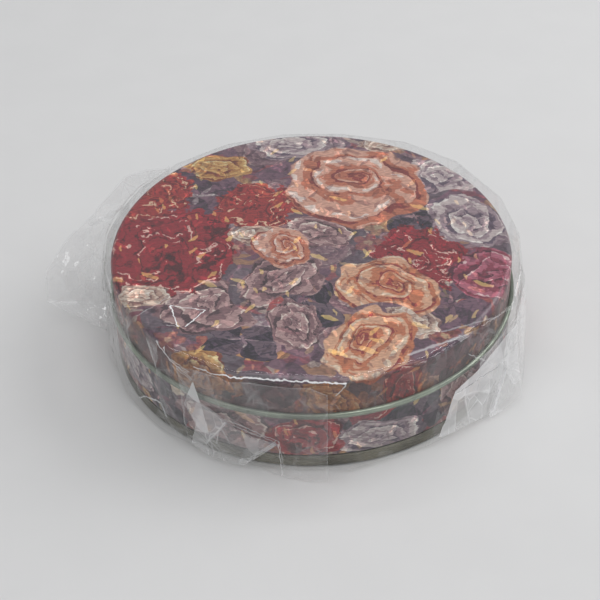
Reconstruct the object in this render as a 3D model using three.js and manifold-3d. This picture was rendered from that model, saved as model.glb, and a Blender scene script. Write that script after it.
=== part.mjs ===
// Flat round tea tin in a clear film wrap: a drawn lid with a rolled bead, a body wall that steps
// in to a neck for the lid, a shallow base cup that closes the wall from below, and a loose hood
// of clear film over it all. Millimetres, +Z up, origin at the centre of the base's underside.
import * as THREE from 'three';
import { ConvexGeometry } from 'three/addons/geometries/ConvexGeometry.js';
import { mergeVertices } from 'three/addons/utils/BufferGeometryUtils.js';
import Module from 'manifold-3d';

// Tin: overall sizes
const LID_RADIUS = 75;            // outside of the lid's wall
const TIN_HEIGHT = 41.5;          // table to the lid's top
const SHOULDER_HEIGHT = 24;       // where the body wall steps in to its neck
const GAUGE = 0.3;                // tinplate thickness

// Tin: fits and details
const WALL_PROUD = 0.5;           // body wall and base's skirt, out past the lid's wall
const LID_FIT = 0.35;             // clearance between the neck and the inside of the lid
const CONTACT_GAP = 0.3;          // left between pieces that touch
const NECK_HEADROOM = 3;          // neck's top to the underside of the lid
const LID_CORNER = 2.4;           // outside radius of the lid's top edge
const BEAD_RADIUS = 1;            // outside radius of the lid's rolled bead
const NECK_CURL_RADIUS = 0.9;     // outside radius of the neck's inward curl
const SHOULDER_ROUND = 0.6;       // bend at the shoulder
const BASE_SKIRT = 5.7;           // height of the base's skirt
const BASE_HEEL = 1.4;            // outside radius of the base's heel
const RIB_RADIUS = 58;            // middle of the stiffening rib pressed up into the base
const RIB_WIDTH = 6;
const RIB_HEIGHT = 1;

// Film hood
const FILM_WALL = 0.5;            // limp film with its small folds, as one wall
const FILM_SLACK = 0.8;           // widest bead to the inside of the hood
const FILM_CORNER = 3.5;          // inside round of the hood's top edge
const HEM_HEIGHT = 0.8;           // hem above the table
const TAIL_LENGTH = 24;           // pocket at the wrap's free end, beyond the hood's wall
const TAIL_WIDTH = 96;            // at the hood's wall
const TAIL_TOP = 38;
const TAIL_BOTTOM = 6;
const TIP_WIDTH = 44;             // at the free end
const TIP_TOP = 16;
const TIP_BOTTOM = 3;

const ROUND_STEPS = 60;           // facets round the tin
const BEND_STEPS = 3;             // facets round a quarter bend
const CURL_STEPS = 8;             // facets round a rolled edge
const BEAD_TURN = 1.75 * Math.PI;
const NECK_CURL_TURN = 1.6 * Math.PI;
const QUARTER = Math.PI / 2;

// Where the pieces meet
const bodyRadius = LID_RADIUS + WALL_PROUD;
const neckRadius = LID_RADIUS - GAUGE - LID_FIT;
const neckTop = TIN_HEIGHT - GAUGE - NECK_HEADROOM;
const beadCentre = LID_RADIUS - GAUGE + BEAD_RADIUS;
const beadHeight = SHOULDER_HEIGHT + CONTACT_GAP + BEAD_RADIUS;
const footRadius = bodyRadius - GAUGE - CONTACT_GAP;
const footHeight = BASE_HEEL + CONTACT_GAP;
const widest = Math.max(beadCentre + BEAD_RADIUS, bodyRadius);
const hoodRadius = widest + FILM_SLACK;
const hoodTop = TIN_HEIGHT + CONTACT_GAP;

function point(radius, height) {
  return new THREE.Vector2(radius, height);
}

// Points of an arc about a centre, both ends included.
function arc(radiusOut, height, radius, from, to, steps) {
  return Array.from({ length: steps + 1 }, (_, i) => {
    const angle = from + (to - from) * i / steps;
    return point(radiusOut + radius * Math.cos(angle), height + radius * Math.sin(angle));
  });
}

// The far face of sheet metal that lies on the left of a path: mitred at every bend.
function farFace(path, gauge) {
  return path.map((here, i) => {
    const arriving = here.clone().sub(path[Math.max(i - 1, 0)]).normalize();
    const leaving = path[Math.min(i + 1, path.length - 1)].clone().sub(here).normalize();
    const along = arriving.clone().add(leaving).normalize();
    const isEnd = i === 0 || i === path.length - 1;
    const mitre = isEnd ? 1 : Math.sqrt((1 + arriving.dot(leaving)) / 2);
    return here.clone().add(point(-along.y, along.x).multiplyScalar(gauge / mitre));
  });
}

// An outline turned about Z.
function turned(outline) {
  return new THREE.LatheGeometry(outline, ROUND_STEPS).rotateX(QUARTER);
}

// Sheet metal turned about Z: a disc where its path starts on the axis, else a ring.
function turnedSheet(path) {
  const outline = [...path, ...farFace(path, GAUGE).reverse()];
  if (path[0].x > 0) {
    outline.push(path[0].clone());
  }
  return turned(outline);
}

function piece(name, geometry, finish) {
  const mesh = new THREE.Mesh(geometry, new THREE.MeshStandardMaterial(finish));
  mesh.name = name;
  return mesh;
}

// Lid: flat top, rounded edge, straight wall and a bead rolled outward at its foot.
function makeLid() {
  const cornerHeight = TIN_HEIGHT - LID_CORNER;
  const underside = [
    point(0, TIN_HEIGHT - GAUGE),
    ...arc(LID_RADIUS - LID_CORNER, cornerHeight, LID_CORNER - GAUGE, QUARTER, 0, BEND_STEPS),
    ...arc(beadCentre, beadHeight, BEAD_RADIUS, Math.PI, Math.PI + BEAD_TURN, CURL_STEPS),
  ];
  return piece('lid', turnedSheet(underside), { color: 0xb9756a, roughness: 0.35, metalness: 0.2 });
}

// Body wall: foot inside the base's skirt, printed wall, shoulder, neck and a curl rolled inward.
function makeBodyWall() {
  const stepHeight = BASE_SKIRT + CONTACT_GAP;
  const outside = [
    point(footRadius, footHeight),
    point(footRadius, stepHeight),
    point(bodyRadius, stepHeight + GAUGE),
    ...arc(bodyRadius - SHOULDER_ROUND, SHOULDER_HEIGHT - SHOULDER_ROUND, SHOULDER_ROUND,
      0, QUARTER, BEND_STEPS),
    point(neckRadius, SHOULDER_HEIGHT),
    ...arc(neckRadius - NECK_CURL_RADIUS, neckTop - NECK_CURL_RADIUS, NECK_CURL_RADIUS,
      0, NECK_CURL_TURN, CURL_STEPS),
  ];
  return piece('body_wall', turnedSheet(outside), { color: 0x9c8a92, roughness: 0.35, metalness: 0.2 });
}

// Base: a shallow cup whose skirt holds the wall's foot, with a stiffening rib pressed upward.
function makeBase() {
  const ribIn = RIB_RADIUS - RIB_WIDTH / 2;
  const ribOut = RIB_RADIUS + RIB_WIDTH / 2;
  const outside = [
    point(0, 0),
    point(ribIn, 0),
    point(ribIn + RIB_HEIGHT, RIB_HEIGHT),
    point(ribOut - RIB_HEIGHT, RIB_HEIGHT),
    point(ribOut, 0),
    ...arc(bodyRadius - BASE_HEEL, BASE_HEEL, BASE_HEEL, -QUARTER, 0, BEND_STEPS),
    point(bodyRadius, BASE_SKIRT),
  ];
  return piece('base', turnedSheet(outside), { color: 0x6a675c, roughness: 0.45, metalness: 0.7 });
}

// The space a hood of film encloses, grown by some thickness: over the tin and out into its tail.
function hoodForm(grow, floor) {
  const radius = hoodRadius + grow;
  const top = hoodTop + grow;
  const corner = FILM_CORNER + grow;
  const cover = turned([
    point(0, floor),
    point(radius, floor),
    ...arc(radius - corner, top - corner, corner, 0, QUARTER, BEND_STEPS),
    point(0, top),
  ]);
  const tipX = -(hoodRadius + TAIL_LENGTH + grow);
  const rootX = -Math.sqrt(hoodRadius ** 2 - (TAIL_WIDTH / 2) ** 2) + FILM_CORNER;
  const corners = [
    [rootX, TAIL_WIDTH / 2 + grow, TAIL_BOTTOM - grow],
    [rootX, TAIL_WIDTH / 2 + grow, TAIL_TOP + grow],
    [tipX, TIP_WIDTH / 2 + grow, TIP_BOTTOM - grow],
    [tipX, TIP_WIDTH / 2 + grow, TIP_TOP + grow],
  ].flatMap(([x, y, z]) => [new THREE.Vector3(x, y, z), new THREE.Vector3(x, -y, z)]);
  return solidOf(cover).add(solidOf(new ConvexGeometry(corners)));
}

function solidOf(geometry) {
  geometry.deleteAttribute('normal');
  geometry.deleteAttribute('uv');
  const merged = mergeVertices(geometry);
  return new wasm.Manifold(new wasm.Mesh({
    numProp: 3,
    vertProperties: merged.attributes.position.array,
    triVerts: merged.index.array,
  }));
}

function geometryOf(solid) {
  const { vertProperties, triVerts } = solid.getMesh();
  const geometry = new THREE.BufferGeometry();
  geometry.setAttribute('position', new THREE.BufferAttribute(vertProperties, 3));
  geometry.setIndex(new THREE.BufferAttribute(triVerts, 1));
  geometry.computeVertexNormals();
  return geometry;
}

// Film wrap: one wall of film round that space, open below.
function makeFilmWrap() {
  const outer = hoodForm(FILM_WALL, HEM_HEIGHT);
  const inner = hoodForm(0, -HEM_HEIGHT);
  return piece('film_wrap', geometryOf(outer.subtract(inner)), {
    color: 0xf2f4f3,
    roughness: 0.1,
    metalness: 0,
    transparent: true,
    opacity: 0.25,
  });
}

const wasm = await Module();
wasm.setup();

const caddy = new THREE.Group();
caddy.add(makeBase(), makeBodyWall(), makeLid(), makeFilmWrap());
export default caddy;
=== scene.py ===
"""A round printed tea tin in a clear film wrap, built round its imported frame."""

import math

import bmesh
import bpy
from bpy.props import FloatProperty, FloatVectorProperty, IntProperty, PointerProperty
from mathutils import Matrix, Vector, noise


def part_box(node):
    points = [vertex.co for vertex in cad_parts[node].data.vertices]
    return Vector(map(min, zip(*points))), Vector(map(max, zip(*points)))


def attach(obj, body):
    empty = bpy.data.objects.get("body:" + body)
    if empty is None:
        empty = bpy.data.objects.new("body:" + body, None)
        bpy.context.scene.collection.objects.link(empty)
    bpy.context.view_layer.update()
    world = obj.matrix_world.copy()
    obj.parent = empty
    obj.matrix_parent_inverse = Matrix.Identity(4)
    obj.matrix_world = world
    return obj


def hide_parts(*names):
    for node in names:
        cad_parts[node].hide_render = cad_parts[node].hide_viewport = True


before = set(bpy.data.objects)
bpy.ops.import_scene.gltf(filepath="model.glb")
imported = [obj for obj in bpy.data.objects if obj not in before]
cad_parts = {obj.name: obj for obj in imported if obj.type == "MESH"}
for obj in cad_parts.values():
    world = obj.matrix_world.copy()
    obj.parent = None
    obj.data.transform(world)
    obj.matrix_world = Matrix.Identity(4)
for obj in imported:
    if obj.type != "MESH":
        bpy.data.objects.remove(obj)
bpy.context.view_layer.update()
MM = 0.001
TURN = 2 * math.pi

bl_info = {
    "name": "Printed tea tin",
    "version": (1, 0, 0),
    "blender": (4, 5, 0),
    "location": "View3D > Sidebar > Tea Tin",
    "description": "Makes a round printed tea tin in its clear film wrap",
    "category": "Add Mesh",
}


# Colours ---------------------------------------------------------------------


def paint(code):
    """A linear colour from a six-digit sRGB code."""
    channels = [int(code[i : i + 2], 16) / 255 for i in (0, 2, 4)]
    return [c / 12.92 if c <= 0.04045 else ((c + 0.055) / 1.055) ** 2.4 for c in channels]


def colour_property(name, description, code):
    return FloatVectorProperty(
        name=name,
        description=description,
        default=paint(code),
        size=3,
        min=0,
        max=1,
        subtype="COLOR",
    )


def length_property(name, description, millimetres):
    return FloatProperty(
        name=name,
        description=description,
        default=millimetres * MM,
        min=0,
        unit="LENGTH",
        precision=5,
    )


def angle_property(name, description, degrees):
    return FloatProperty(
        name=name,
        description=description,
        default=math.radians(degrees),
        unit="ROTATION",
    )


# Node trees ------------------------------------------------------------------


class Tree:
    """Adds nodes to one tree. A value given to a node is a number, a tuple or a socket."""

    def __init__(self, tree):
        self.tree = tree

    def add(self, kind, values=None, **settings):
        node = self.tree.nodes.new(kind)
        for name, setting in settings.items():
            setattr(node, name, setting)
        for key, value in (values or {}).items():
            self.feed(node.inputs[key], value)
        return node

    def feed(self, socket, value):
        if isinstance(value, bpy.types.NodeSocket):
            self.tree.links.new(value, socket)
        elif socket.type == "RGBA":
            socket.default_value = (*value[:3], 1)
        else:
            socket.default_value = value

    def maths(self, operation, *values):
        node = self.add("ShaderNodeMath", dict(enumerate(values)), operation=operation)
        return node.outputs[0]

    def plus(self, *values):
        return self.maths("ADD", *values)

    def minus(self, *values):
        return self.maths("SUBTRACT", *values)

    def times(self, *values):
        return self.maths("MULTIPLY", *values)

    def times_plus(self, *values):
        return self.maths("MULTIPLY_ADD", *values)

    def vectors(self, operation, *values):
        node = self.add("ShaderNodeVectorMath", dict(enumerate(values)), operation=operation)
        return node.outputs["Value" if operation in ("LENGTH", "DOT_PRODUCT") else "Vector"]

    def scaled(self, vector, by):
        node = self.add("ShaderNodeVectorMath", {0: vector, "Scale": by}, operation="SCALE")
        return node.outputs["Vector"]

    def parts(self, vector):
        return self.add("ShaderNodeSeparateXYZ", {0: vector}).outputs

    def joined(self, x=0.0, y=0.0, z=0.0):
        return self.add("ShaderNodeCombineXYZ", {0: x, 1: y, 2: z}).outputs[0]

    def between(self, value, low, high, to_low=0.0, to_high=1.0):
        values = {"Value": value, 1: low, 2: high, 3: to_low, 4: to_high}
        return self.add("ShaderNodeMapRange", values, interpolation_type="SMOOTHSTEP").outputs[0]

    def mix(self, share, first, second, blend="MIX"):
        node = self.add("ShaderNodeMix", data_type="RGBA", blend_type=blend, clamp_factor=True)
        for socket, value in ((node.inputs[0], share), (node.inputs[6], first), (node.inputs[7], second)):
            self.feed(socket, value)
        return node.outputs[2]

    def mix_vector(self, share, first, second):
        node = self.add("ShaderNodeMix", data_type="VECTOR")
        for socket, value in ((node.inputs[0], share), (node.inputs[4], first), (node.inputs[5], second)):
            self.feed(socket, value)
        return node.outputs[1]

    def mix_value(self, share, first, second):
        return self.times_plus(share, self.minus(second, first), first)

    def noise(self, vector, scale, detail=2.0, output=0):
        return self.add(
            "ShaderNodeTexNoise", {"Vector": vector, "Scale": scale, "Detail": detail}
        ).outputs[output]

    def channels(self, colour):
        return self.add("ShaderNodeSeparateColor", {0: colour}).outputs

    def cells(self, vector, randomness=1.0):
        values = {"Vector": vector, "Scale": 1.0, "Randomness": randomness}
        return self.add("ShaderNodeTexVoronoi", values, voronoi_dimensions="2D").outputs

    def turned(self, vector, angle):
        values = {"Vector": vector, "Angle": angle}
        return self.add("ShaderNodeVectorRotate", values, rotation_type="Z_AXIS").outputs[0]

    def group(self, made, values):
        node = self.add("ShaderNodeGroup", node_tree=made)
        for key, value in values.items():
            self.feed(node.inputs[key], value)
        return node.outputs


SOCKETS = {"v": "NodeSocketVector", "f": "NodeSocketFloat", "c": "NodeSocketColor"}


def new_group(name, takes, gives):
    """An empty node group with its sockets, as (tree, its input sockets, its output node)."""
    made = bpy.data.node_groups.new(name, "ShaderNodeTree")
    for title, kind in takes.items():
        made.interface.new_socket(title, in_out="INPUT", socket_type=SOCKETS[kind])
    for title, kind in gives.items():
        made.interface.new_socket(title, in_out="OUTPUT", socket_type=SOCKETS[kind])
    tree = Tree(made)
    return tree, tree.add("NodeGroupInput").outputs, tree.add("NodeGroupOutput").inputs


PETAL_COLOURS = {"Deep": "c", "Middle": "c", "Light": "c", "Edge": "c"}
PETAL_TAKES = {"Local": "v", "Seed": "f", **PETAL_COLOURS}
PETAL_GIVES = {"Colour": "c", "Mask": "f"}


def warp_group():
    """Bends a pattern as a loaded brush would: a slow wander and a ragged edge."""
    t, takes, gives = new_group(
        "Brush Warp",
        {"Vector": "v", "Seed": "f", "Wander": "f", "Ragged": "f", "Scale": "f"},
        {"Vector": "v"},
    )
    moved = t.vectors("ADD", t.scaled(takes["Vector"], takes["Scale"]), t.joined(z=takes["Seed"]))
    slow = t.vectors("SUBTRACT", t.noise(moved, 1.0, 1.0, output=1), (0.5, 0.5, 0.5))
    quick = t.vectors("SUBTRACT", t.noise(moved, 6.0, 2.0, output=1), (0.5, 0.5, 0.5))
    bent = t.vectors("ADD", takes["Vector"], t.scaled(slow, takes["Wander"]))
    bent = t.vectors("ADD", bent, t.scaled(quick, takes["Ragged"]))
    t.feed(gives["Vector"], bent)
    return t.tree


def steps_group():
    """Lays four paints by a tone from 0 to 1, with the hard edges of opaque colour."""
    t, takes, gives = new_group("Four Paints", {"Tone": "f", **PETAL_COLOURS}, {"Colour": "c"})
    colour = takes["Deep"]
    for title, start in (("Middle", 0.26), ("Light", 0.5), ("Edge", 0.78)):
        colour = t.mix(t.between(takes["Tone"], start, start + 0.035), colour, takes[title])
    t.feed(gives["Colour"], colour)
    return t.tree


def place_group():
    """Turns the print plane into one flower's own disc, where that flower lies."""
    t, takes, gives = new_group(
        "Flower Place",
        {
            "Vector": "v",
            "Local So Far": "v",
            "Seed So Far": "f",
            "Place": "v",
            "Half Size": "v",
            "Turn": "f",
            "Seed": "f",
        },
        {"Local": "v", "Seed": "f"},
    )
    away = t.vectors("SUBTRACT", takes["Vector"], takes["Place"])
    local = t.vectors("DIVIDE", t.turned(away, takes["Turn"]), takes["Half Size"])
    inside = t.maths("LESS_THAN", t.vectors("LENGTH", local), 1.12)
    t.feed(gives["Local"], t.mix_vector(inside, takes["Local So Far"], local))
    t.feed(gives["Seed"], t.mix_value(inside, takes["Seed So Far"], takes["Seed"]))
    return t.tree


def scatter_group():
    """Turns the print plane into discs strewn at random, each with its own seed."""
    t, takes, gives = new_group(
        "Strewn Places",
        {"Vector": "v", "Spacing": "f", "Size": "f", "Seed": "f"},
        {"Local": "v", "Seed": "f", "Random": "c"},
    )
    moved = t.vectors("ADD", takes["Vector"], t.scaled((37.0, 91.0, 0.0), takes["Seed"]))
    here = t.vectors("DIVIDE", moved, t.joined(takes["Spacing"], takes["Spacing"], 1.0))
    cells = t.cells(here, 0.75)
    away = t.vectors("MULTIPLY", t.vectors("SUBTRACT", here, cells["Position"]), (1, 1, 0))
    random = t.channels(cells["Color"])
    turned = t.turned(away, t.times(random[0], TURN))
    t.feed(gives["Local"], t.scaled(turned, t.maths("DIVIDE", takes["Spacing"], takes["Size"])))
    t.feed(gives["Seed"], t.times(random[1], 20.0))
    t.feed(gives["Random"], cells["Color"])
    return t.tree


def polar(t, vector):
    """Distance from the middle and the turn about it, from 0 to 1."""
    x, y, _ = t.parts(vector)
    flat = t.joined(x, y)
    turns = t.maths("DIVIDE", t.maths("ARCTAN2", y, x), TURN)
    return t.vectors("LENGTH", flat), turns


def brushed(t, groups, takes, wander, ragged, scale):
    """A flower's disc, bent as a brush would bend it."""
    bends = {"Wander": wander, "Ragged": ragged, "Scale": scale}
    return t.group(groups["warp"], {"Vector": takes["Local"], "Seed": takes["Seed"], **bends})[0]


def mottled(t, takes, bent, spread, scale=1.0, detail=2.0):
    """Noise over a flower's disc that differs from flower to flower."""
    place = t.vectors("ADD", t.scaled(bent, spread), t.joined(z=takes["Seed"]))
    return t.noise(place, scale, detail)


def lay_paints(t, groups, takes, gives, tone):
    colours = {k: takes[k] for k in PETAL_COLOURS}
    t.feed(gives["Colour"], t.group(groups["steps"], {"Tone": tone, **colours})[0])
    return t.tree


def rose_group(groups):
    """A full rose: petals wound about a heart, dark in their folds and pale at their rims."""
    t, takes, gives = new_group("Rose Petals", PETAL_TAKES, PETAL_GIVES)
    bent = brushed(t, groups, takes, 0.55, 0.08, 1.6)
    reach, around = polar(t, bent)
    lobes = t.times(t.maths("COSINE", t.times(around, 6 * TURN)), 0.035)
    t.feed(gives["Mask"], t.between(t.plus(reach, lobes), 0.97, 0.93))
    closeness = t.minus(1.0, reach)
    centred = t.vectors("SUBTRACT", bent, t.scaled((0.1, 0.34, 0.0), closeness))
    radius, turns = polar(t, centred)
    wound = t.plus(t.times(t.maths("POWER", radius, 0.48), 4.6), turns)
    ring = t.maths("FLOOR", wound)
    out = t.maths("FRACT", wound)
    petal = t.times_plus(turns, 2.0, t.times(ring, 0.41))
    across = t.maths("ABSOLUTE", t.minus(t.maths("FRACT", petal), 0.5))
    sheet = t.joined(t.times(radius, 7.0), t.times(turns, 4.0), takes["Seed"])
    strokes = t.noise(sheet, 2.2, 3.0)
    patches = mottled(t, takes, bent, 2.2)
    tone = t.times_plus(out, 0.26, t.times(strokes, 0.5))
    tone = t.times_plus(patches, 0.6, tone)
    tone = t.minus(tone, t.between(radius, 0.1, 0.55, 0.36, 0.12))
    broken = t.between(mottled(t, takes, bent, 4.5, 1.0, 1.0), 0.38, 0.6)
    fold = t.between(out, 0.0, 0.3, 0.28, 0.0)
    tone = t.minus(tone, t.times(fold, t.times_plus(broken, 0.75, 0.25)))
    tone = t.minus(tone, t.between(across, 0.43, 0.5, 0.0, 0.2))
    rim = t.between(t.maths("ABSOLUTE", t.minus(out, 0.82)), 0.16, 0.04, 0.0, 0.3)
    tone = t.times_plus(rim, t.minus(1.0, broken), tone)
    return lay_paints(t, groups, takes, gives, tone)


def mum_group(groups):
    """A many-petalled flower: rings of narrow strokes with pale tips."""
    t, takes, gives = new_group("Mum Petals", PETAL_TAKES, PETAL_GIVES)
    bent = brushed(t, groups, takes, 0.8, 0.14, 2.8)
    radius, turns = polar(t, bent)
    teeth = t.times(t.maths("ABSOLUTE", t.maths("SINE", t.times(turns, 11 * TURN))), 0.1)
    t.feed(gives["Mask"], t.between(t.minus(radius, teeth), 0.92, 0.88))
    wound = t.times_plus(radius, 5.6, t.times(turns, 2.0))
    ring = t.maths("FLOOR", wound)
    out = t.maths("FRACT", wound)
    count = t.times_plus(ring, 4.0, 7.0)
    petal = t.times_plus(turns, count, t.times(ring, 0.37))
    across = t.maths("ABSOLUTE", t.minus(t.maths("FRACT", petal), 0.5))
    chance = t.add(
        "ShaderNodeTexWhiteNoise",
        {"Vector": t.joined(ring, t.maths("FLOOR", petal), takes["Seed"])},
        noise_dimensions="3D",
    ).outputs[0]
    patches = mottled(t, takes, bent, 3.0)
    tip = t.maths("ABSOLUTE", t.minus(t.times_plus(across, 0.5, out), 0.78))
    stroke = t.times(t.between(tip, 0.16, 0.07), t.between(chance, 0.35, 0.9, 0.0, 0.75))
    tone = t.times_plus(patches, 0.62, t.times(stroke, t.between(across, 0.47, 0.3)))
    tone = t.minus(tone, t.between(out, 0.02, 0.24, 0.16, 0.0))
    tone = t.times_plus(chance, 0.12, tone)
    return lay_paints(t, groups, takes, gives, tone)


def ruffle_group(groups):
    """A loose ruffled flower: broad overlapping petals, each pale at its outer rim."""
    t, takes, gives = new_group("Ruffled Petals", PETAL_TAKES, PETAL_GIVES)
    bent = brushed(t, groups, takes, 0.6, 0.12, 1.8)
    radius, turns = polar(t, bent)
    lobes = t.times(t.maths("COSINE", t.times(turns, 5 * TURN)), 0.07)
    t.feed(gives["Mask"], t.between(t.plus(radius, lobes), 0.95, 0.91))
    sheet = t.joined(t.times(turns, 6.0), t.times(radius, 3.4), takes["Seed"])
    cells = t.cells(sheet, 0.8)
    outward = t.minus(t.parts(sheet)[1], t.parts(cells["Position"])[1])
    chance = t.channels(cells["Color"])[0]
    strokes = t.noise(t.vectors("MULTIPLY", sheet, (3.0, 1.0, 1.0)), 1.6, 2.0)
    tone = t.times_plus(outward, 0.55, t.times(chance, 0.35))
    tone = t.plus(tone, t.times(strokes, 0.62))
    return lay_paints(t, groups, takes, gives, tone)


def leaf_group(groups):
    """A spray of pointed leaves, each with a pale rib and one side in shade."""
    t, takes, gives = new_group("Leaf Spray", PETAL_TAKES, PETAL_GIVES)
    bent = brushed(t, groups, takes, 0.5, 0.06, 1.5)
    radius, turns = polar(t, bent)
    fan = t.times_plus(turns, 4.0, takes["Seed"])
    across = t.minus(t.maths("FRACT", fan), 0.5)
    bulge = t.maths("SINE", t.times(t.maths("MINIMUM", radius, 1.0), math.pi))
    width = t.times(t.maths("POWER", t.maths("MAXIMUM", bulge, 0.0), 0.7), 0.52)
    off = t.maths("ABSOLUTE", across)
    t.feed(gives["Mask"], t.between(t.minus(off, width), 0.012, -0.012))
    rib = t.between(off, 0.018, 0.008)
    side = t.between(across, -0.02, 0.02)
    strokes = t.noise(t.joined(t.times(radius, 7.0), t.times(fan, 2.6), takes["Seed"]), 1.6, 2.0)
    tone = t.times_plus(side, 0.28, t.times(strokes, 0.55))
    tone = t.times_plus(rib, 0.12, tone)
    return lay_paints(t, groups, takes, gives, tone)


def blossom_group(groups):
    """A small five-petalled blossom with a bright eye."""
    t, takes, gives = new_group("Five Petals", PETAL_TAKES, PETAL_GIVES)
    bent = brushed(t, groups, takes, 0.5, 0.12, 1.4)
    radius, turns = polar(t, bent)
    petal = t.maths("ABSOLUTE", t.maths("COSINE", t.times(turns, 2.5 * TURN)))
    rim = t.times_plus(petal, 0.38, 0.52)
    t.feed(gives["Mask"], t.between(t.minus(radius, rim), 0.02, -0.02))
    strokes = mottled(t, takes, bent, 2.4, 1.5)
    tone = t.times_plus(petal, 0.28, t.times(strokes, 0.85))
    tone = t.minus(tone, t.between(radius, 0.14, 0.3, -0.35, 0.12))
    return lay_paints(t, groups, takes, gives, tone)


# The print -------------------------------------------------------------------


def place_plane_groups():
    """The two ways a print lies on the tin: drawn over the lid's edge, or wrapped round the wall."""
    lid, takes, gives = new_group("Lid Plane", {"Object": "v", "Top": "f"}, {"Plane": "v"})
    x, y, z = lid.parts(takes["Object"])
    drop = lid.minus(takes["Top"], z)
    flat = lid.joined(x, y)
    reach = lid.vectors("LENGTH", flat)
    spread = lid.maths("DIVIDE", lid.plus(reach, drop), lid.maths("MAXIMUM", reach, 1e-5))
    lid.feed(gives["Plane"], lid.scaled(flat, lid.times(spread, 1 / MM)))
    wall, takes, gives = new_group("Wall Plane", {"Object": "v", "Radius": "f"}, {"Plane": "v"})
    x, y, z = wall.parts(takes["Object"])
    around = wall.maths("ARCTAN2", x, wall.times(y, -1.0))
    along = wall.times(around, takes["Radius"])
    wall.feed(gives["Plane"], wall.scaled(wall.joined(along, z), 1 / MM))
    return lid.tree, wall.tree


GROUND_PAINTS = (
    "2d2430", "604458", "4c4654", "9c3238", "8e6674", "7c3e5a",
    "c6a2a2", "dca45c", "c45446", "eedcc4", "825866",
)


def ground_group(groups):
    """Short overlapping brush strokes in many paints, which fill between the flowers."""
    t, takes, gives = new_group("Ground Strokes", {"Plane": "v", "Seed": "f", "Length": "f"}, {"Colour": "c"})
    wander = t.group(
        groups["warp"],
        {"Vector": takes["Plane"], "Seed": takes["Seed"], "Wander": 26.0, "Ragged": 2.6, "Scale": 0.05},
    )[0]
    stretched = t.vectors("MULTIPLY", wander, (0.16, 0.42, 1.0))
    cells = t.cells(t.scaled(stretched, t.maths("DIVIDE", 1.0, takes["Length"])))
    chance = t.channels(cells["Color"])
    drift = t.noise(t.vectors("ADD", takes["Plane"], t.joined(z=takes["Seed"])), 0.03, 1.0)
    tone = t.times_plus(chance[0], 0.62, t.times(drift, 0.5))
    ramp = t.add("ShaderNodeValToRGB", {0: tone})
    stops = ramp.color_ramp
    stops.interpolation = "CONSTANT"
    while len(stops.elements) < len(GROUND_PAINTS):
        stops.elements.new(0.5)
    for i, code in enumerate(GROUND_PAINTS):
        stops.elements[i].position = 0.12 + 0.8 * i / len(GROUND_PAINTS)
        stops.elements[i].color = (*paint(code), 1)
    streaks = t.noise(t.vectors("MULTIPLY", wander, (0.22, 1.6, 1.0)), 1.0, 2.0)
    shade = t.between(streaks, 0.3, 0.7, 0.78, 1.2)
    t.feed(gives["Colour"], t.mix(1.0, ramp.outputs[0], t.joined(shade, shade, shade), "MULTIPLY"))
    return t.tree


def dabs_group():
    """Lays short brush dabs over the painting, each a darker or a paler touch of what it covers."""
    t, takes, gives = new_group("Brush Dabs", {"Plane": "v", "Seed": "f", "Colour": "c"}, {"Colour": "c"})
    colour = takes["Colour"]
    for turn, length, width in ((0.5, 10.0, 3.0), (2.2, 7.0, 2.2), (1.3, 5.0, 1.6)):
        across = t.turned(takes["Plane"], turn)
        place = t.vectors("ADD", across, t.scaled(t.noise(across, 0.35, 2.0, output=1), 2.4))
        place = t.vectors("ADD", place, t.scaled((turn, 3.0, 0.0), takes["Seed"]))
        cells = t.cells(t.vectors("DIVIDE", place, (length, width, 1.0)))
        chance = t.channels(cells["Color"])
        laid = t.times(t.between(cells["Distance"], 0.42, 0.35), t.between(chance[0], 0.74, 0.78))
        dark = t.mix(1.0, colour, (0.5, 0.42, 0.48), "MULTIPLY")
        pale = t.mix(1.0, colour, t.mix(chance[2], (1.3, 1.25, 1.25), (2.1, 1.9, 1.8)), "MULTIPLY")
        pale = t.mix(t.between(chance[2], 0.7, 1.0, 0.0, 0.6), pale, paint("ecd07c"))
        touch = t.mix(t.between(chance[1], 0.42, 0.46), dark, pale)
        colour = t.mix(t.times(laid, 0.7), colour, touch)
    t.feed(gives["Colour"], colour)
    return t.tree


PAINTS = {
    "cream": ("8a6660", "c4a494", "e6d2c0", "fbf2e6"),
    "peach": ("94403c", "cc7c60", "e8b29c", "fbe6da"),
    "apricot": ("a0403c", "d0805a", "ecb896", "f8e0c4"),
    "crimson": ("5c1620", "a02a36", "b83c42", "f0c4b6"),
    "scarlet": ("6c2028", "ac3838", "ca6048", "f2ccac"),
    "magenta": ("602438", "983f54", "c06c80", "ecc8c8"),
    "lilac": ("5a4248", "906c70", "c29e9c", "f4e2d6"),
    "pearl": ("6c5a6c", "a8929a", "d6c6c4", "f6efe8"),
    "slate": ("2c2430", "4e3e50", "74606c", "b09c9c"),
    "teal": ("353a3e", "50575c", "6a7073", "98989a"),
    "plum": ("301e2c", "603c56", "8a6274", "c4a4aa"),
    "gold": ("8a4634", "c08a50", "deb070", "f4e0a8"),
    "brick": ("6f2c30", "ac4a40", "d07c54", "f0c898"),
}


def paints(name):
    return dict(zip(PETAL_COLOURS, map(paint, PAINTS[name])))


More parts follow.
